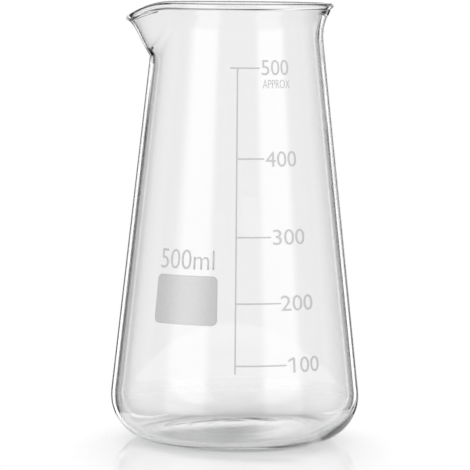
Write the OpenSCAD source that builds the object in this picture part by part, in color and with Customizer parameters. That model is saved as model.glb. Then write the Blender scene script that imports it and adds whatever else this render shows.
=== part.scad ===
// Conical measuring beaker: one blown glass body with a flared lip and a drawn spout,
// and a scale and a marking spot of fired enamel on its front.
// Millimetres. +Z is up, the front faces -Y and the spout points to -X.
// The origin is on the axis, on the surface that the beaker stands on.

/* [Body] */
// Height from the table to the top of the lip
body_h = 151; // [146:0.5:158]
// Largest outside diameter, at the top of the heel
body_d = 86.2; // [82:0.2:92]
// Height of the heel's curve
heel_h = 15.6; // [12:0.2:18]
// Outside diameter of the flat ring that the body stands on
foot_d = 58; // [50:0.5:62]
// Width of that ring
foot_w = 2.4; // [1.5:0.1:4]
// Height of the dome pressed up under the base
push_up = 1.8; // [0.6:0.1:3]
// Thickness of the base
base_t = 2.1; // [1.8:0.1:3.5]
// Thickness of the side wall
wall_t = 1.9; // [1.5:0.05:2.1]

/* [Neck and lip] */
// Outside diameter of the neck, where the wall starts to bend outwards
neck_d = 59.2; // [56:0.2:61]
// Distance from the top of the lip down to there
neck_drop = 13; // [11.5:0.25:16]
// Outside radius of the bend
neck_bend_r = 15.4; // [10:0.2:18]
// Outside diameter of the lip
lip_d = 65.8; // [64:0.2:70]
// Thickness of the fire-polished bead along the lip
bead_d = 2.3; // [2.2:0.05:2.7]

/* [Spout] */
// Distance from the axis to the tip of the spout
spout_reach = 38.5; // [37:0.1:41]
// How far the tip lies below the top of the lip
spout_dip = 3.8; // [2:0.1:5]
// Distance from the top of the lip down to the spout's lower end
spout_drop = 18.6; // [17:0.2:24]
// Lean of the spout's line at its lower end, from the vertical
spout_root_lean = 32; // [26:0.5:36]
// Lean of the spout's line at its tip
spout_tip_lean = 48; // [40:1:56]
// Half of the angle that the spout takes up along the lip
spout_half_angle = 36; // [28:1:44]
// Half of the angle that it takes up at its lower end
spout_root_half_angle = 15; // [10:1:24]

/* [Scale] */
// Thickness of the fired enamel
enamel_t = 0.08; // [0.05:0.01:0.15]
// Width of the scale's lines
line_w = 0.5; // [0.3:0.05:0.8]
// Height of the 100 ml line
line_100_h = 30.1; // [26:0.1:34]
// Height of the 200 ml line
line_200_h = 50.8; // [46:0.1:55]
// Height of the 300 ml line
line_300_h = 72.9; // [68:0.1:78]
// Height of the 400 ml line
line_400_h = 99.1; // [94:0.1:104]
// Distance from the neck down to the 500 ml line
line_500_drop = 8.6; // [6:0.1:14]
// Length of the 100 ml line
line_100_len = 17.8; // [12:0.1:24]
// Length of the 200 ml line
line_200_len = 15.7; // [10:0.1:22]
// Length of the 300 ml line
line_300_len = 11.9; // [8:0.1:18]
// Length of the 400 ml line
line_400_len = 9.3; // [6:0.1:14]
// Length of the 500 ml line to the right of the stem
line_500_len = 7.5; // [5:0.1:12]
// Length of the 500 ml line to the left of the stem
line_500_left_len = 2.5; // [1:0.1:5]
// How far the stem runs on below the 100 ml line
stem_tail = 2.5; // [1:0.1:6]

/* [Marking spot] */
// Height of the spot's middle
spot_h = 51.6; // [46:0.1:60]
// Turn of its middle to the left of the stem, about the axis
spot_turn = 26; // [24:0.5:60]
// Width of its upper edge
spot_top_w = 22.1; // [18:0.1:26]
// Width of its lower edge
spot_bottom_w = 23.6; // [18:0.1:26]
// Height of the spot itself
spot_size_h = 16.5; // [12:0.1:20]
// Radius of its corners
spot_corner_r = 1.8; // [0.6:0.1:4]

/* [Hidden] */
$fn = 96;

glass_colour = [0.86, 0.9, 0.9, 0.45];
enamel_colour = [0.62, 0.63, 0.62];

body_r = body_d / 2;
foot_r = foot_d / 2;
dome_edge_r = foot_r - foot_w;
neck_r = neck_d / 2;
bead_r = bead_d / 2;
neck_z = body_h - neck_drop;
line_500_h = neck_z - line_500_drop;
spout_z = body_h - spout_drop;
taper = atan((body_r - neck_r) / (neck_z - heel_h));
wall_across = wall_t / cos(taper);
// Steps in each curve of the outline
dome_steps = 4;
heel_steps = 10;
side_steps = 4;
bend_steps = 8;
flare_steps = 2;
bead_steps = 8;
corner_steps = 6;
// Half of the sector that holds the spout, and the steps round it
sector_half_angle = 45;
sector_steps = 40;
// How much of the spout's line its wall takes up, before the bead
spout_wall_share = 0.97;
// How far the spout's line keeps to its two leans, as shares of its span
spout_root_share = 0.45;
spout_tip_share = 0.25;
// How much sooner the lip dips than it reaches out
dip_lead = 2.5;
// Reach of the blocks that trim the enamel, past everything that they trim
trim_reach = 2 * max(body_d, body_h);

// Radius of the outside of the tapering wall at height z
function wall_r(z) = body_r - (z - heel_h) * tan(taper);

function unit(v) = v / norm(v);
function mix_of(a, b, t) = a * (1 - t) + b * t;

// The bend's centre lies outside the neck, and the flare leaves it as a tangent that ends in the
// bead, so the lip's diameter sets the flare's lean
bend_c = [neck_r + neck_bend_r * cos(taper), neck_z + neck_bend_r * sin(taper)];
bead_c = [lip_d / 2 - bead_r, body_h - bead_r];
mid_bend_r = neck_bend_r + wall_t / 2;
to_bead = bead_c - bend_c;
flare_turn = atan2(to_bead[1], to_bead[0]) + acos(mid_bend_r / norm(to_bead));
flare_lean = 180 - flare_turn;

// How far behind the bead's centre each face of the wall runs into it
bead_tuck = sqrt(bead_r * bead_r - wall_t * wall_t / 4);
// The angle of the bead that shows beyond the wall, on each side of its nose
bead_half_angle = 180 - acos(bead_tuck / bead_r);

// A bead at the end of a wall that leans outwards: an arc from the outer face over to the inner
function bead_arc(c, lean) =
    [for (i = [0:bead_steps])
        let (a = 90 - lean - bead_half_angle + 2 * bead_half_angle * i / bead_steps)
            c + bead_r * [cos(a), sin(a)]];

// Where a face of the wall, side times half its thickness off the middle, meets the bead
function wall_end(c, lean, side) =
    c - bead_tuck * [sin(lean), cos(lean)] + side * wall_t / 2 * [cos(lean), -sin(lean)];

// One face of the wall from the spout's lower end up to the bead, on a plain part of the lip.
// side is 1 for the outer face and -1 for the inner
function plain_face(side) =
    let (start_r = wall_r(spout_z) - (side > 0 ? 0 : wall_across),
         face_r = side > 0 ? neck_bend_r : neck_bend_r + wall_t,
         bend_foot = bend_c - face_r * [cos(taper), sin(taper)],
         bend_head = bend_c + face_r * [cos(flare_turn), sin(flare_turn)],
         face_end = wall_end(bead_c, flare_lean, side))
    concat(
        [for (i = [0:side_steps - 1]) mix_of([start_r, spout_z], bend_foot, i / side_steps)],
        [for (i = [0:bend_steps])
            let (a = mix_of(180 + taper, flare_turn, i / bend_steps))
                bend_c + face_r * [cos(a), sin(a)]],
        [for (i = [1:flare_steps - 1]) mix_of(bend_head, face_end, i / flare_steps)]);

plain_outer = plain_face(1);
plain_inner = plain_face(-1);
face_last = len(plain_outer) - 1;

// The outline of the wall above the spout's lower end: up the outside, round the bead, down inside
plain_section = concat(plain_outer, bead_arc(bead_c, flare_lean),
                       [for (i = [face_last:-1:0]) plain_inner[i]]);

// The middle of the spout: a curve that leaves the wall at one lean and ends in the tip at another
tip_c = [spout_reach - bead_r, body_h - spout_dip - bead_r];
spout_foot = [wall_r(spout_z), spout_z];
spout_head = wall_end(tip_c, spout_tip_lean, 1);
spout_span = spout_head - spout_foot;
root_pull = norm(spout_span) * spout_root_share * [sin(spout_root_lean), cos(spout_root_lean)];
tip_pull = norm(spout_span) * spout_tip_share * [sin(spout_tip_lean), cos(spout_tip_lean)];

function spout_line(t) =
    pow(1 - t, 3) * spout_foot + 3 * t * pow(1 - t, 2) * (spout_foot + root_pull)
    + 3 * t * t * (1 - t) * (spout_head - tip_pull) + pow(t, 3) * spout_head;
function spout_way(t) =
    unit(pow(1 - t, 2) * root_pull + 2 * t * (1 - t) * (spout_span - tip_pull - root_pull)
         + t * t * tip_pull);
function share_up(z) = (z - spout_z) / (plain_outer[face_last][1] - spout_z);

spout_outer = [for (p = plain_outer) spout_line(share_up(p[1]) * spout_wall_share)];
spout_inner = [for (i = [0:face_last])
    let (t = share_up(plain_outer[i][1]) * spout_wall_share, way = spout_way(t))
        i == 0 ? plain_inner[0] : spout_line(t) - wall_t * [way[1], -way[0]]];
spout_section = concat(spout_outer, bead_arc(tip_c, spout_tip_lean),
                       [for (i = [face_last:-1:0]) spout_inner[i]]);

// How far a point this far up the spout is drawn out to its line, at a turn from its middle, and how
// far down
function reach_part(turn, up) =
    let (half = mix_of(spout_root_half_angle, spout_half_angle, min(1, max(0, up))))
        abs(turn) >= half ? 0 : pow(cos(90 * turn / half), 2);
function dip_part(turn, up) = 1 - pow(1 - reach_part(turn, up), dip_lead);

// The two curves below the wall: the dome under the base, from the axis out, and the heel
function dome_arc(edge_z) =
    let (dome_r = (dome_edge_r * dome_edge_r + push_up * push_up) / (2 * push_up),
         half = asin(dome_edge_r / dome_r))
    [for (i = [0:dome_steps])
        let (a = half * i / dome_steps)
            [i == 0 ? 0 : dome_r * sin(a), edge_z + push_up - dome_r * (1 - cos(a))]];
function heel_arc(reach, rise) =
    [for (i = [0:heel_steps])
        let (a = 90 * i / heel_steps) [foot_r + reach * sin(a), heel_h - rise * cos(a)]];

lower_outer = concat(dome_arc(0), heel_arc(body_r - foot_r, heel_h));
lower_inner = concat(dome_arc(base_t), heel_arc(body_r - wall_across - foot_r, heel_h - base_t));
lower_size = len(lower_outer);

// The outline of the whole body, from the axis under the base round to the axis inside
body_section = concat(lower_outer, plain_section, [for (i = [lower_size - 1:-1:0]) lower_inner[i]]);
section_last = len(body_section) - 1;

// The outline's points off the axis, at a turn from the middle of the spout, with the sector's far
// flank on the X axis
function body_ring(turn) =
    [for (i = [1:section_last - 1])
        let (k = i - lower_size, p = body_section[i], up = share_up(p[1]),
             drawn = k >= 0 && k < len(plain_section) ? spout_section[k] : p,
             r = mix_of(p[0], drawn[0], reach_part(turn, up)),
             z = mix_of(p[1], drawn[1], dip_part(turn, up)), a = turn - sector_half_angle)
            [r * cos(a), r * sin(a), z]];

// The sector of the body that the spout is drawn out of, as a loft of its outlines. The two points
// on the axis come first, and all of the rings share them
module spout_sector() {
    function at(ring, i) =
        i == 0 ? 0 : i == section_last ? 1 : 1 + ring * (section_last - 1) + i;
    rings = [for (j = [0:sector_steps]) body_ring(sector_half_angle * (2 * j / sector_steps - 1))];
    skin = [for (j = [0:sector_steps - 1], i = [0:section_last - 1])
        each [if (i > 0) [at(j, i), at(j, i + 1), at(j + 1, i)],
              if (i < section_last - 1) [at(j, i + 1), at(j + 1, i + 1), at(j + 1, i)]]];
    nose = section_last / 2;
    cap = concat([[nose - 1, nose + 1, nose]], [for (i = [0:nose - 2])
        let (k = section_last - i)
            each [[i, k, k - 1], [i, k - 1, i + 1]]]);
    first_cap = [for (f = cap) [at(0, f[0]), at(0, f[1]), at(0, f[2])]];
    last_cap = [for (f = cap) [for (i = [0, 2, 1]) at(sector_steps, f[i])]];
    axis_points = [for (i = [0, section_last]) [0, 0, body_section[i][1]]];
    polyhedron(concat(axis_points, [for (r = rings) each r]), concat(skin, first_cap, last_cap));
}

module glass_body() {
    color(glass_colour)
        rotate([0, 0, 180 + sector_half_angle]) {
            rotate_extrude(angle = 360 - 2 * sector_half_angle) polygon(body_section);
            spout_sector();
        }
}

// A skin of enamel on the wall between two heights
module enamel_band(low, high) {
    rotate_extrude()
        polygon([[wall_r(low), low], [wall_r(low) + enamel_t, low],
                 [wall_r(high) + enamel_t, high], [wall_r(high), high]]);
}

// The upright slab in front of the wall that holds the stem
module stem_slab() {
    translate([-line_w / 2, -trim_reach, 0]) cube([line_w, trim_reach, trim_reach]);
}

module scale_stem() {
    color(enamel_colour)
        intersection() {
            enamel_band(line_100_h - line_w / 2 - stem_tail, line_500_h - line_w / 2);
            stem_slab();
        }
}

// A line of the scale: an arc round the wall, right and left of the stem's middle
module scale_line(h, right_len, left_len) {
    low = h - line_w / 2;
    high = h + line_w / 2;
    right_turn = right_len / wall_r(h) * 180 / PI;
    left_turn = left_len / wall_r(h) * 180 / PI;
    rotate([0, 0, -90 - left_turn])
        rotate_extrude(angle = right_turn + left_turn)
            polygon([[wall_r(low), low], [wall_r(low) + enamel_t, low],
                     [wall_r(high) + enamel_t, high], [wall_r(high), high]]);
}

// A line that starts at the stem's right edge
module line_from_stem(h, length) {
    color(enamel_colour)
        difference() {
            scale_line(h, length, 0);
            stem_slab();
        }
}

module graduation_100() {
    line_from_stem(line_100_h, line_100_len);
}

module graduation_200() {
    line_from_stem(line_200_h, line_200_len);
}

module graduation_300() {
    line_from_stem(line_300_h, line_300_len);
}

module graduation_400() {
    line_from_stem(line_400_h, line_400_len);
}

module graduation_500() {
    color(enamel_colour) scale_line(line_500_h, line_500_len, line_500_left_len);
}

// The points of a convex outline with each corner rounded
function rounded(points, r) =
    [for (i = [0:len(points) - 1])
        let (n = len(points), p = points[i],
             before = unit(points[(i + n - 1) % n] - p), after = unit(points[(i + 1) % n] - p),
             half = acos(before * after) / 2, centre = p + unit(before + after) * r / sin(half),
             from = p + before * r / tan(half) - centre, sweep = 180 - 2 * half)
            each [for (s = [0:corner_steps])
                let (a = sweep * s / corner_steps)
                    centre + [from[0] * cos(a) - from[1] * sin(a),
                              from[0] * sin(a) + from[1] * cos(a)]]];

module marking_spot() {
    half_h = spot_size_h / 2;
    corners = [[-spot_bottom_w / 2, -half_h], [spot_bottom_w / 2, -half_h],
               [spot_top_w / 2, half_h], [-spot_top_w / 2, half_h]];
    color(enamel_colour)
        intersection() {
            enamel_band(spot_h - spot_size_h, spot_h + spot_size_h);
            rotate([0, 0, -spot_turn])
                translate([0, 0, spot_h])
                    rotate([90, 0, 0])
                        linear_extrude(trim_reach) polygon(rounded(corners, spot_corner_r));
        }
}

glass_body();
scale_stem();
graduation_100();
graduation_200();
graduation_300();
graduation_400();
graduation_500();
marking_spot();
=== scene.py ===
# A tall conical measuring beaker of clear blown glass with a printed scale, on a white table.
# Metres, +Z up. The scale faces -Y and the spout points to -X.
import math

import bmesh
import bpy
from mathutils import Matrix, Vector, noise


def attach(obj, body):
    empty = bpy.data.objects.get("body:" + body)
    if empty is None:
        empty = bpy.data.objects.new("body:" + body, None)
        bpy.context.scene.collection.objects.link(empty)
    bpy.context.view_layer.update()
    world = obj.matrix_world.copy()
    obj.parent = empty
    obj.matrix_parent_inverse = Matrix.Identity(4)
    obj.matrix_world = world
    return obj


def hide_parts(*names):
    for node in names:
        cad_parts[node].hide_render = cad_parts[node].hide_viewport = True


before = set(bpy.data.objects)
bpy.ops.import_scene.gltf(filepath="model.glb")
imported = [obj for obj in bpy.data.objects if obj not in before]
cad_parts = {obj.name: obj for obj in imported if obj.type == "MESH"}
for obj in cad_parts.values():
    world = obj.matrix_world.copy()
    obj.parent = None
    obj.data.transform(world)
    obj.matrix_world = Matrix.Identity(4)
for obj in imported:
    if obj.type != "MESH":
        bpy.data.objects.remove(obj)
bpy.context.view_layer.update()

# The camera stands a good metre in front of the beaker, a little above its lip, with a long lens.
# It looks five degrees down and is tilted by half a degree.
camera_aside = -0.0004
camera_distance = 1.0998
camera_height = 0.16684
look_down = math.radians(5.0018)
camera_tilt = math.radians(0.4769)
film_width = 36
frame_width = 470
focal_pixels = 3188.01

lens = bpy.data.cameras.new("camera")
lens.sensor_width = film_width
lens.lens = focal_pixels / frame_width * film_width
lens.clip_start = 0.01
lens.clip_end = 50
camera = bpy.data.objects.new("camera", lens)
camera.matrix_world = (
    Matrix.Translation((camera_aside, -camera_distance, camera_height))
    @ Matrix.Rotation(math.radians(90) - look_down, 4, "X")
    @ Matrix.Rotation(camera_tilt, 4, "Z")
)
bpy.context.scene.collection.objects.link(camera)
bpy.context.scene.camera = camera

# The table is a wide disc of glossy white laminate, which takes the beaker's soft shadow and its
# faint mirror image. It fades into the white studio away from the beaker.
table_radius = 0.4
table_sides = 96
table_tone = 1.0
table_gloss_ior = 1.45
table_roughness = 0.1
table_near, table_end = 0.1, 0.15
# What the glass mirrors holds only the table within this reach
table_mirrored = 0.06
# The camera sees it fade round a narrower patch that lies a little in front of the beaker
patch_stretch = (1.6, 1, 1)
patch_shift = (0, 0.03, 0)
patch_near, patch_end = 0.06, 0.09
# A depth counts whole bounces, so more than half a bounce is at least one
half_bounce = 0.5


def new_material(name):
    """A material with an empty node tree, and that tree and its output's surface socket."""
    material = bpy.data.materials.new(name)
    material.use_nodes = True
    material.node_tree.nodes.clear()
    output = material.node_tree.nodes.new("ShaderNodeOutputMaterial")
    return material, material.node_tree, output.inputs["Surface"]


def add_node(tree, kind, values=None, **settings):
    """A node of this kind, with its settings and with values or links on its inputs."""
    node = tree.nodes.new(kind)
    for name, setting in settings.items():
        setattr(node, name, setting)
    for name, value in (values or {}).items():
        if isinstance(value, bpy.types.NodeSocket):
            tree.links.new(value, node.inputs[name])
        else:
            node.inputs[name].default_value = value
    return node


def math_of(tree, operation, *values):
    """The output of a Math node on these values or sockets."""
    inputs = dict(enumerate(values))
    return add_node(tree, "ShaderNodeMath", inputs, operation=operation).outputs[0]


table_mesh = bmesh.new()
bmesh.ops.create_circle(table_mesh, cap_ends=True, segments=table_sides, radius=table_radius)
table_data = bpy.data.meshes.new("table")
table_mesh.to_mesh(table_data)
table_mesh.free()
table = bpy.data.objects.new("table", table_data)
bpy.context.scene.collection.objects.link(table)
laminate, tree, surface = new_material("white_laminate")
matt = add_node(
    tree, "ShaderNodeBsdfDiffuse", {"Color": (table_tone, table_tone, table_tone, 1)}
)
gloss = add_node(tree, "ShaderNodeBsdfGlossy", {"Color": (1, 1, 1, 1), "Roughness": table_roughness})
fresnel = add_node(tree, "ShaderNodeFresnel", {"IOR": table_gloss_ior})
coated = add_node(tree, "ShaderNodeMixShader", {0: fresnel.outputs[0]})
tree.links.new(matt.outputs[0], coated.inputs[1])
tree.links.new(gloss.outputs[0], coated.inputs[2])
place = add_node(tree, "ShaderNodeTexCoord").outputs["Object"]
reach = add_node(tree, "ShaderNodeVectorMath", {0: place}, operation="LENGTH").outputs["Value"]
patch = add_node(
    tree,
    "ShaderNodeVectorMath",
    {0: place, 1: patch_stretch, 2: patch_shift},
    operation="MULTIPLY_ADD",
).outputs["Vector"]
patch_reach = add_node(
    tree, "ShaderNodeVectorMath", {0: patch}, operation="LENGTH"
).outputs["Value"]
past_table = add_node(
    tree, "ShaderNodeMapRange", {"Value": reach, "From Min": table_near, "From Max": table_end}
).outputs[0]
past_patch = add_node(
    tree, "ShaderNodeMapRange", {"Value": patch_reach, "From Min": patch_near, "From Max": patch_end}
).outputs[0]
path = add_node(tree, "ShaderNodeLightPath")
is_faded = add_node(
    tree, "ShaderNodeMix", {"Factor": path.outputs["Is Camera Ray"], "A": past_table, "B": past_patch}
).outputs[0]
was_mirrored = math_of(
    tree,
    "MULTIPLY",
    math_of(tree, "GREATER_THAN", path.outputs["Glossy Depth"], half_bounce),
    math_of(tree, "GREATER_THAN", reach, table_mirrored),
)
open_table = add_node(tree, "ShaderNodeBsdfTransparent")
table_mix = add_node(
    tree, "ShaderNodeMixShader", {0: math_of(tree, "MAXIMUM", is_faded, was_mirrored)}
)
tree.links.new(coated.outputs[0], table_mix.inputs[1])
tree.links.new(open_table.outputs[0], table_mix.inputs[2])
tree.links.new(table_mix.outputs[0], surface)
table_data.materials.append(laminate)

# The studio round the beaker is plain white to the camera. Through the glass it is white behind the
# beaker, low down all round, and from the sides round to the camera, with dark gaps that draw the
# glass's edges. What the glass mirrors is a dark room with upright white screens and soft boxes.
backdrop_light = 1.0
backdrop_half_angle = 33
backdrop_low, backdrop_high = -24, 12
backdrop_soft = 10
horizon = 0.5
room_light = 0.06
# Each screen's two angles in plan, in degrees, its light, and over how many degrees it fades
screens = [
    (-10, 0, 0.4, 4),
    (3, 12, 1.1, 3),
    (-26, -19, 1.8, 3),
    (23, 30, 1.6, 4),
    (-90, -62, 0.22, 6),
    (44, 85, 0.3, 5),
    (-152, -112, 1.0, 10),
    (114, 152, 1.1, 10),
]
screen_low, screen_high, screen_soft = -18, 60, 12
# The side range goes past 180, so it has no end behind the camera
side_low, side_high = 84, 200
low_wall_low, low_wall_high, low_wall_soft = -26, -10, 4
floor_low = -100
floor_light = 0.38

world = bpy.data.worlds.new("studio")
bpy.context.scene.world = world
world.use_nodes = True
tree = world.node_tree
tree.nodes.clear()
direction = add_node(tree, "ShaderNodeTexCoord").outputs["Generated"]
split = add_node(tree, "ShaderNodeSeparateXYZ", {"Vector": direction})
path = add_node(tree, "ShaderNodeLightPath")


def between(angle, low, high, soft):
    """1 between two angles and 0 outside them, with soft edges."""
    rise = add_node(
        tree,
        "ShaderNodeMapRange",
        {"Value": angle, "From Min": low - soft / 2, "From Max": low + soft / 2},
        interpolation_type="SMOOTHSTEP",
    )
    fall = add_node(
        tree,
        "ShaderNodeMapRange",
        {"Value": angle, "From Min": high + soft / 2, "From Max": high - soft / 2},
        interpolation_type="SMOOTHSTEP",
    )
    return math_of(tree, "MULTIPLY", rise.outputs[0], fall.outputs[0])


def mix_numbers(share, first, second):
    """The first number where share is 0 and the second where it is 1."""
    return add_node(tree, "ShaderNodeMix", {"Factor": share, "A": first, "B": second}).outputs[0]


# Angles in plan from the backdrop behind the beaker, to the right up to 180 and to the left
turn = math_of(tree, "ARCTAN2", split.outputs["X"], split.outputs["Y"])
from_backdrop = math_of(tree, "DEGREES", turn)
up = math_of(tree, "DEGREES", math_of(tree, "ARCSINE", split.outputs["Z"]))
is_level = between(up, screen_low, screen_high, screen_soft)
mirrored = room_light
for low, high, light, soft in screens:
    is_screen = math_of(tree, "MULTIPLY", is_level, between(from_backdrop, low, high, soft))
    mirrored = mix_numbers(is_screen, mirrored, light)
is_backdrop = math_of(
    tree,
    "MULTIPLY",
    between(from_backdrop, -backdrop_half_angle, backdrop_half_angle, backdrop_soft),
    between(up, backdrop_low, backdrop_high, backdrop_soft),
)
to_side = math_of(tree, "ABSOLUTE", from_backdrop)
is_side = between(to_side, side_low, side_high, backdrop_soft)
is_floor = between(up, floor_low, low_wall_low, low_wall_soft)
is_low_wall = between(up, low_wall_low, low_wall_high, low_wall_soft)
seen_through = mix_numbers(is_floor, mirrored, floor_light)
seen_through = mix_numbers(is_low_wall, seen_through, backdrop_light)
seen_through = mix_numbers(is_side, seen_through, backdrop_light)
seen_through = mix_numbers(is_backdrop, seen_through, backdrop_light)
# The backdrop is mirrored only above the horizon
is_raised = math_of(tree, "MULTIPLY", is_backdrop, math_of(tree, "GREATER_THAN", up, horizon))
mirrored = mix_numbers(is_raised, mirrored, backdrop_light)
is_mirrored = math_of(
    tree,
    "MULTIPLY",
    path.outputs["Is Glossy Ray"],
    math_of(tree, "GREATER_THAN", path.outputs["Glossy Depth"], half_bounce),
)
lit = mix_numbers(path.outputs["Is Transmission Ray"], backdrop_light, seen_through)
lit = mix_numbers(is_mirrored, lit, mirrored)
background = add_node(tree, "ShaderNodeBackground", {"Color": (1, 1, 1, 1), "Strength": lit})
output = add_node(tree, "ShaderNodeOutputWorld")
tree.links.new(background.outputs[0], output.inputs["Surface"])

# The body is one piece of borosilicate glass, blown into a mould: base, heel, tapering wall and
# flared lip. Its rim is fire polished into a bead, and the spout is drawn out of it while hot.
body_h = 0.151
body_r = 0.0431
heel_h = 0.0156
heel_steps, heel_share = 32, 0.88
ease_steps, ease_rise, ease_bulge = 10, 0.1, 0.06
foot_r = 0.029
foot_w = 0.0024
push_up = 0.0018
base_t = 0.0021
wall_t = 0.0019
wall_steps = 40
neck_r = 0.0296
neck_z = body_h - 0.013
neck_bend_r = 0.0154
lip_r = 0.0329
bead_r = 0.00115
# The wall thins a little towards the bead, and more in the drawn spout, over this share of its line
lip_t = 0.0017
spout_t = 0.0011
spout_thinned = 0.15
spout_reach = 0.0385
spout_dip = 0.0045
spout_z = body_h - 0.0186
spout_root_lean = math.radians(32)
spout_tip_lean = math.radians(48)
spout_half_angle = math.radians(50)
spout_root_half_angle = math.radians(24)
spout_wall_share = 0.97
spout_root_share = 0.45
spout_tip_share = 0.25
# Above 1 the lip's dip stays nearer to the spout's middle than its reach does
dip_hold = 1.6
glass_turns = 288
merge_gap = 1e-6
# The blown inner face is not quite even: long waves, a base thicker on the right, and faint rings
wave_gap = 0.022
wave_stretch = 0.35
wave_rise = 0.00005
base_lean = 0.016
ring_gap = 0.0062
ring_rise = 0.00002
glass_tint = (0.992, 0.993, 0.993, 1)
glass_ior = 1.473
shadow_tint = (0.85, 0.852, 0.852, 1)
taper = math.atan((body_r - neck_r) / (neck_z - heel_h))
wall_across = wall_t / math.cos(taper)


def wall_r(z):
    """Radius of the outside of the tapering wall at height z."""
    return body_r - (z - heel_h) * math.tan(taper)


def along(lean):
    """The direction, as radius and height, of a wall that leans outwards by this angle."""
    return Vector((math.sin(lean), math.cos(lean)))


def across(lean):
    """The direction outwards through such a wall."""
    return Vector((math.cos(lean), -math.sin(lean)))


bead_tuck = math.sqrt(bead_r**2 - lip_t**2 / 4)
bead_half_angle = math.pi - math.acos(bead_tuck / bead_r)
bend_c = Vector((neck_r + neck_bend_r * math.cos(taper), neck_z + neck_bend_r * math.sin(taper)))
bead_c = Vector((lip_r - bead_r, body_h - bead_r))
to_bead = bead_c - bend_c
flare_turn = math.atan2(to_bead[1], to_bead[0]) + math.acos(
    (neck_bend_r + wall_t / 2) / to_bead.length
)
flare_lean = math.pi - flare_turn


def bead_arc(centre, lean, steps=20):
    """The bead at the end of a leaning wall, from its outer face over to its inner one."""
    points = []
    for i in range(steps + 1):
        angle = math.pi / 2 - lean - bead_half_angle + 2 * bead_half_angle * i / steps
        points.append(centre + bead_r * Vector((math.cos(angle), math.sin(angle))))
    return points


def wall_end(centre, lean, side):
    """Where the outer (side 1) or the inner (side -1) face of a wall meets its bead."""
    return centre - bead_tuck * along(lean) + side * lip_t / 2 * across(lean)


def plain_face(side, side_steps=6, bend_steps=20, flare_steps=5):
    """One face of the wall from the spout's lower end up to the bead."""
    start = Vector((wall_r(spout_z) - (0 if side > 0 else wall_across), spout_z))
    face_r = neck_bend_r + (0 if side > 0 else wall_t)
    bend_foot = bend_c - face_r * Vector((math.cos(taper), math.sin(taper)))
    bend_head = bend_c + face_r * Vector((math.cos(flare_turn), math.sin(flare_turn)))
    points = [start.lerp(bend_foot, i / side_steps) for i in range(side_steps)]
    for i in range(bend_steps + 1):
        angle = math.pi + taper + (flare_turn - math.pi - taper) * i / bend_steps
        points.append(bend_c + face_r * Vector((math.cos(angle), math.sin(angle))))
    face_end = wall_end(bead_c, flare_lean, side)
    return points + [bend_head.lerp(face_end, i / flare_steps) for i in range(1, flare_steps)]


plain_outer = plain_face(1)
plain_inner = plain_face(-1)
tip_c = Vector((spout_reach - bead_r, body_h - spout_dip - bead_r))
spout_foot = Vector((wall_r(spout_z), spout_z))
spout_head = wall_end(tip_c, spout_tip_lean, 1)
spout_span = spout_head - spout_foot
root_pull = spout_span.length * spout_root_share * along(spout_root_lean)
tip_pull = spout_span.length * spout_tip_share * along(spout_tip_lean)


def spout_line(t):
    """A point on the outside of the spout's middle, from its foot at 0 to its bead at 1."""
    return (
        (1 - t) ** 3 * spout_foot
        + 3 * t * (1 - t) ** 2 * (spout_foot + root_pull)
        + 3 * t**2 * (1 - t) * (spout_head - tip_pull)
        + t**3 * spout_head
    )


def spout_way(t):
    """The direction of that line."""
    way = (
        (1 - t) ** 2 * root_pull
        + 2 * t * (1 - t) * (spout_span - tip_pull - root_pull)
        + t**2 * tip_pull
    )
    return way.normalized()


def share_up(z):
    """How far up the spout a height lies, from 0 to 1."""
    return (z - spout_z) / (plain_outer[-1][1] - spout_z)


spout_outer, spout_inner = [], []
for point in plain_outer:
    t = share_up(point[1]) * spout_wall_share
    way = spout_way(t)
    spout_outer.append(spout_line(t))
    drawn_share = min(1, t / spout_thinned)
    thickness = wall_t + (spout_t - wall_t) * drawn_share**2 * (3 - 2 * drawn_share)
    spout_inner.append(spout_line(t) - thickness * Vector((way[1], -way[0])))
spout_inner[0] = plain_inner[0]


def dome_arc(edge_z, steps=20):
    """The dome pressed up under the base, from the axis out to the foot ring."""
    edge_r = foot_r - foot_w
    dome_r = (edge_r**2 + push_up**2) / (2 * push_up)
    half = math.asin(edge_r / dome_r)
    points = []
    for i in range(steps + 1):
        angle = half * i / steps
        drop = dome_r * (1 - math.cos(angle))
        points.append(Vector((dome_r * math.sin(angle), edge_z + push_up - drop)))
    return points


def heel_arc(reach, rise):
    """The heel, from the foot ring up to just below its widest place, then eased into the wall."""
    points = []
    for i in range(heel_steps + 1):
        angle = math.pi / 2 * heel_share * i / heel_steps
        points.append(Vector((foot_r + reach * math.sin(angle), heel_h - rise * math.cos(angle))))
    start = points[-1]
    end = Vector(
        (foot_r + reach - ease_rise * heel_h * math.tan(taper), heel_h * (1 + ease_rise))
    )
    corner = start.lerp(end, 0.5) + Vector((ease_bulge * (end - start).length, 0))
    for i in range(1, ease_steps + 1):
        t = i / ease_steps
        points.append(start.lerp(corner, t).lerp(corner.lerp(end, t), t))
    return points


def lower_face(side):
    """One face of the body below the spout, from the axis out and up."""
    edge_z = 0 if side > 0 else base_t
    inset = 0 if side > 0 else wall_across
    points = dome_arc(edge_z) + heel_arc(body_r - inset - foot_r, heel_h - edge_z)
    top = Vector((wall_r(spout_z) - inset, spout_z))
    return points + [points[-1].lerp(top, i / wall_steps) for i in range(1, wall_steps)]


lower_outer = lower_face(1)
lower_inner = lower_face(-1)
outline = [(point, point) for point in lower_outer]
outline += list(zip(plain_outer, spout_outer))
outline += list(zip(bead_arc(bead_c, flare_lean), bead_arc(tip_c, spout_tip_lean)))
outline += list(zip(plain_inner, spout_inner))[::-1]
outline += [(point, point) for point in lower_inner[::-1]]

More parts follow.
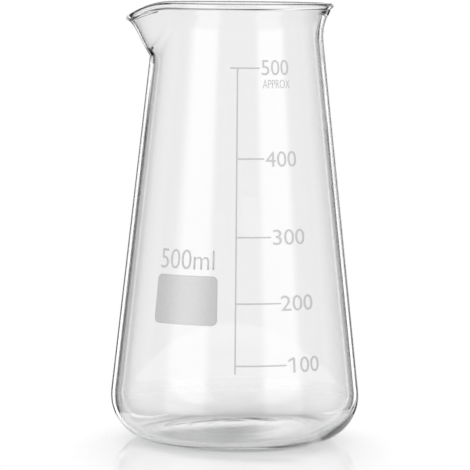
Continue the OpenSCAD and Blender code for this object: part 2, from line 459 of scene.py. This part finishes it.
glass_mesh = bmesh.new()
drawn_r = glass_mesh.verts.layers.float.new("drawn_r")
drawn_z = glass_mesh.verts.layers.float.new("drawn_z")
is_inner = glass_mesh.verts.layers.float.new("is_inner")
profile = []
for i, (plain, drawn) in enumerate(outline):
    vertex = glass_mesh.verts.new((-plain[0], 0, plain[1]))
    vertex[drawn_r], vertex[drawn_z] = drawn
    vertex[is_inner] = i > len(outline) - len(lower_inner)
    profile.append(vertex)
profile += [glass_mesh.edges.new(pair) for pair in zip(profile, profile[1:])]
bmesh.ops.spin(
    glass_mesh,
    geom=profile,
    cent=(0, 0, 0),
    axis=(0, 0, 1),
    angle=2 * math.pi,
    steps=glass_turns,
    use_merge=True,
)
bmesh.ops.remove_doubles(glass_mesh, verts=glass_mesh.verts, dist=merge_gap)
for vertex in glass_mesh.verts:
    if not vertex[is_inner]:
        continue
    x, y, z = vertex.co
    radius = math.hypot(x, y)
    if z < heel_h:
        low_share = 1 - (z / heel_h) ** 2
        ring = math.cos(2 * math.pi * radius / ring_gap) * min(1, radius / ring_gap)
        vertex.co.z += low_share * (base_lean * x + ring_rise * ring)
    if radius > merge_gap:
        wave = noise.noise(Vector((x, y, z * wave_stretch)) / wave_gap)
        vertex.co.x += wave_rise * wave * x / radius
        vertex.co.y += wave_rise * wave * y / radius
for vertex in glass_mesh.verts:
    if vertex.co.z <= spout_z:
        continue
    turn = math.atan2(vertex.co.y, -vertex.co.x)
    up = min(1, share_up(vertex.co.z))
    half = spout_root_half_angle + (spout_half_angle - spout_root_half_angle) * up
    if abs(turn) < half:
        reach_part = math.cos(math.pi / 2 * turn / half) ** 2
        dip_part = reach_part**dip_hold
        radius = math.hypot(vertex.co.x, vertex.co.y)
        radius += (vertex[drawn_r] - radius) * reach_part
        height = vertex.co.z + (vertex[drawn_z] - vertex.co.z) * dip_part
        vertex.co = (-radius * math.cos(turn), radius * math.sin(turn), height)
bmesh.ops.recalc_face_normals(glass_mesh, faces=glass_mesh.faces)
for face in glass_mesh.faces:
    face.smooth = True
glass_data = bpy.data.meshes.new("glass_beaker")
glass_mesh.to_mesh(glass_data)
glass_mesh.free()
glass = bpy.data.objects.new("glass_beaker", glass_data)
bpy.context.scene.collection.objects.link(glass)

clear_glass, tree, surface = new_material("clear_borosilicate")
bent = add_node(
    tree,
    "ShaderNodeBsdfPrincipled",
    {
        "Base Color": glass_tint,
        "Roughness": 0.0,
        "IOR": glass_ior,
        "Transmission Weight": 1.0,
    },
)
# The light that falls on the table goes straight through and dims a little at every face
unbent = add_node(tree, "ShaderNodeBsdfTransparent", {"Color": shadow_tint})
light_path = add_node(tree, "ShaderNodeLightPath")
for_shadows = add_node(tree, "ShaderNodeMixShader", {0: light_path.outputs["Is Shadow Ray"]})
tree.links.new(bent.outputs[0], for_shadows.inputs[1])
tree.links.new(unbent.outputs[0], for_shadows.inputs[2])
for_table = add_node(tree, "ShaderNodeMixShader", {0: light_path.outputs["Is Diffuse Ray"]})
tree.links.new(for_shadows.outputs[0], for_table.inputs[1])
tree.links.new(unbent.outputs[0], for_table.inputs[2])
tree.links.new(for_table.outputs[0], surface)
glass_data.materials.append(clear_glass)
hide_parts("glass_body")
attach(glass, "root")

# The scale and the marking spot are grey enamel, screen printed on the finished glass and fired.
# It is satin with a fine grain that takes a pencil. On the spot the ink lies thickest, and darkest,
# along the edge, and a painted highlight lightens a band down its middle, where a soft box is
# mirrored.
enamel_tone = 0.6
enamel_grain = 0.025
enamel_roughness = 0.3
grain_scale = 1800
grain_low, grain_high = 0.3, 0.7
spot_h = 0.0516
spot_turn = math.radians(26)
spot_top_w = 0.0221
spot_bottom_w = 0.0236
spot_size_h = 0.0165
spot_corner_r = 0.0018
# How light the ink is at the edge, and how light the painted highlight down the middle is and where
# it lies, as shares of its plain tone
spot_edge_w = 0.0006
spot_edge_share = 0.9
spot_highlight_share = 1.2
spot_highlight_aside = 0.001


def enamel_material(name):
    """Grainy satin enamel: its material, tree, object coordinates, colour and shader node."""
    material, tree, surface = new_material(name)
    place = add_node(tree, "ShaderNodeTexCoord").outputs["Object"]
    grain = add_node(
        tree, "ShaderNodeTexNoise", {"Vector": place, "Scale": grain_scale, "Detail": 3.0}
    )
    tone = add_node(
        tree,
        "ShaderNodeMapRange",
        {
            "Value": grain.outputs[0],
            "From Min": grain_low,
            "From Max": grain_high,
            "To Min": enamel_tone - enamel_grain,
            "To Max": enamel_tone + enamel_grain,
        },
    )
    satin = add_node(
        tree,
        "ShaderNodeBsdfPrincipled",
        {
            "Base Color": tone.outputs[0],
            "Roughness": enamel_roughness,
            "Specular IOR Level": 1.0,
        },
    )
    tree.links.new(satin.outputs[0], surface)
    return material, tree, place, tone.outputs[0], satin


enamel = enamel_material("fired_enamel")[0]
spot_enamel, tree, place, tone, satin = enamel_material("fired_enamel_spot")
from_axis = add_node(tree, "ShaderNodeSeparateXYZ", {"Vector": place})
aside = add_node(
    tree,
    "ShaderNodeVectorMath",
    {0: place, 1: (math.cos(spot_turn), -math.sin(spot_turn), 0)},
    operation="DOT_PRODUCT",
).outputs["Value"]
raised = math_of(tree, "SUBTRACT", from_axis.outputs["Z"], spot_h)
half_w = math_of(
    tree,
    "MULTIPLY_ADD",
    raised,
    (spot_top_w - spot_bottom_w) / 2 / spot_size_h,
    (spot_top_w + spot_bottom_w) / 4 - spot_corner_r,
)
past_w = math_of(tree, "SUBTRACT", math_of(tree, "ABSOLUTE", aside), half_w)
past_h = math_of(
    tree, "SUBTRACT", math_of(tree, "ABSOLUTE", raised), spot_size_h / 2 - spot_corner_r
)
past_corner = math_of(
    tree,
    "SQRT",
    math_of(
        tree,
        "ADD",
        math_of(tree, "POWER", math_of(tree, "MAXIMUM", past_w, 0.0), 2.0),
        math_of(tree, "POWER", math_of(tree, "MAXIMUM", past_h, 0.0), 2.0),
    ),
)
past_sides = math_of(tree, "MINIMUM", math_of(tree, "MAXIMUM", past_w, past_h), 0.0)
edge_share = add_node(
    tree,
    "ShaderNodeMapRange",
    {
        "Value": math_of(tree, "ADD", past_corner, past_sides),
        "From Min": spot_corner_r - spot_edge_w,
        "From Max": spot_corner_r,
        "To Min": 1.0,
        "To Max": spot_edge_share,
    },
)
# A painted highlight: the spot's tone is raised down its middle, where a soft box is mirrored
painted_highlight = add_node(
    tree,
    "ShaderNodeMapRange",
    {
        "Value": math_of(
            tree, "ABSOLUTE", math_of(tree, "SUBTRACT", aside, spot_highlight_aside)
        ),
        "From Min": 0.0,
        "From Max": spot_bottom_w / 2,
        "To Min": spot_highlight_share,
        "To Max": 1.0,
    },
    interpolation_type="SMOOTHSTEP",
)
spot_tone = math_of(
    tree,
    "MULTIPLY",
    math_of(tree, "MULTIPLY", tone, painted_highlight.outputs[0]),
    edge_share.outputs[0],
)
tree.links.new(spot_tone, satin.inputs["Base Color"])
for name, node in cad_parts.items():
    if name != "glass_body":
        node.data.materials.clear()
        node.data.materials.append(spot_enamel if name == "marking_spot" else enamel)

# The numbers are printed with the scale, to the right of its lines. "APPROX" stands under the top
# one and "500ml" over the marking spot. Each word is as thick as the fired enamel, and follows the
# tapering glass.
enamel_t = 0.00008
number_h = 0.0052
# The two turns from the front, in degrees, that a number spans, and the height of its middle
scale_words = {
    "500": (15.2, 33.9, 0.1296),
    "400": (16.5, 36.0, 0.0990),
    "300": (19.7, 38.6, 0.0729),
    "200": (22.8, 41.3, 0.0508),
    "100": (25.6, 42.7, 0.0301),
}
# The same for the two words, and each one's own height
small_word = (15.8, 34.3, 0.1241, 0.0029)
volume_word = (-41.6, -11.0, 0.0652, 0.0066)
number_stroke, word_stroke = 0.0, -0.008
# The flag at the top of a 1, in shares of its height from the top of its stem
one_flag = [(0, 0), (-0.3, -0.18), (-0.3, -0.3), (0, -0.15)]
letter_steps = 6
letter_gap = 1e-5
slice_w = 0.0004


def printed_word(name, text, low_turn, high_turn, middle_z, letter_h, stroke):
    """Enamel letters on the wall between two turns from the front, round this height."""
    curve = bpy.data.curves.new(name, "FONT")
    curve.body = text
    curve.size = 1
    curve.offset = stroke
    curve.resolution_u = letter_steps
    letters = bpy.data.objects.new(name + "_flat", curve)
    bpy.context.scene.collection.objects.link(letters)
    bpy.context.view_layer.update()
    flat = bpy.data.meshes.new_from_object(letters)
    bpy.data.objects.remove(letters)
    bpy.data.curves.remove(curve)
    letter_mesh = bmesh.new()
    letter_mesh.from_mesh(flat)
    bpy.data.meshes.remove(flat)
    bmesh.ops.remove_doubles(letter_mesh, verts=letter_mesh.verts, dist=letter_gap)
    y_low = min(v.co.y for v in letter_mesh.verts)
    y_high = max(v.co.y for v in letter_mesh.verts)
    if text.startswith("1"):
        stem_x = min(v.co.x for v in letter_mesh.verts)
        height = y_high - y_low
        corners = [(stem_x + x * height, y_high + y * height, 0) for x, y in one_flag]
        letter_mesh.faces.new([letter_mesh.verts.new(corner) for corner in corners])
    x_low = min(v.co.x for v in letter_mesh.verts)
    x_high = max(v.co.x for v in letter_mesh.verts)
    arc = math.radians(high_turn - low_turn) * wall_r(middle_z)
    for vertex in letter_mesh.verts:
        vertex.co = (
            (vertex.co.x - x_low) / (x_high - x_low) * arc,
            (vertex.co.y - y_low) / (y_high - y_low) * letter_h,
            0,
        )
    for i in range(1, math.ceil(arc / slice_w)):
        geometry = letter_mesh.verts[:] + letter_mesh.edges[:] + letter_mesh.faces[:]
        bmesh.ops.bisect_plane(
            letter_mesh, geom=geometry, plane_co=(i * slice_w, 0, 0), plane_no=(1, 0, 0)
        )
    bmesh.ops.recalc_face_normals(letter_mesh, faces=letter_mesh.faces)
    bmesh.ops.solidify(letter_mesh, geom=letter_mesh.faces[:], thickness=enamel_t)
    depth_low = min(v.co.z for v in letter_mesh.verts)
    for vertex in letter_mesh.verts:
        z = middle_z - letter_h / 2 + vertex.co.y
        turn = math.radians(low_turn) + vertex.co.x / wall_r(middle_z)
        radius = wall_r(z) + vertex.co.z - depth_low
        vertex.co = (radius * math.sin(turn), -radius * math.cos(turn), z)
    bmesh.ops.recalc_face_normals(letter_mesh, faces=letter_mesh.faces)
    word_data = bpy.data.meshes.new(name)
    letter_mesh.to_mesh(word_data)
    letter_mesh.free()
    word = bpy.data.objects.new(name, word_data)
    bpy.context.scene.collection.objects.link(word)
    word_data.materials.append(enamel)
    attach(word, "root")


for number, (low_turn, high_turn, middle_z) in scale_words.items():
    name = "number_" + number
    printed_word(name, number, low_turn, high_turn, middle_z, number_h, number_stroke)
printed_word("word_approx", "APPROX", *small_word, word_stroke)
printed_word("volume_500ml", "500ml", *volume_word, word_stroke)

# A ray may cross both walls and the base and be mirrored inside them on its way, so it is followed
# for many bounces.
glass_bounces = 24
mirror_bounces = 12

bpy.context.scene.view_settings.view_transform = "Standard"
bpy.context.scene.cycles.use_denoising = True
bpy.context.scene.cycles.max_bounces = glass_bounces
bpy.context.scene.cycles.transmission_bounces = glass_bounces
bpy.context.scene.cycles.transparent_max_bounces = glass_bounces
bpy.context.scene.cycles.glossy_bounces = mirror_bounces
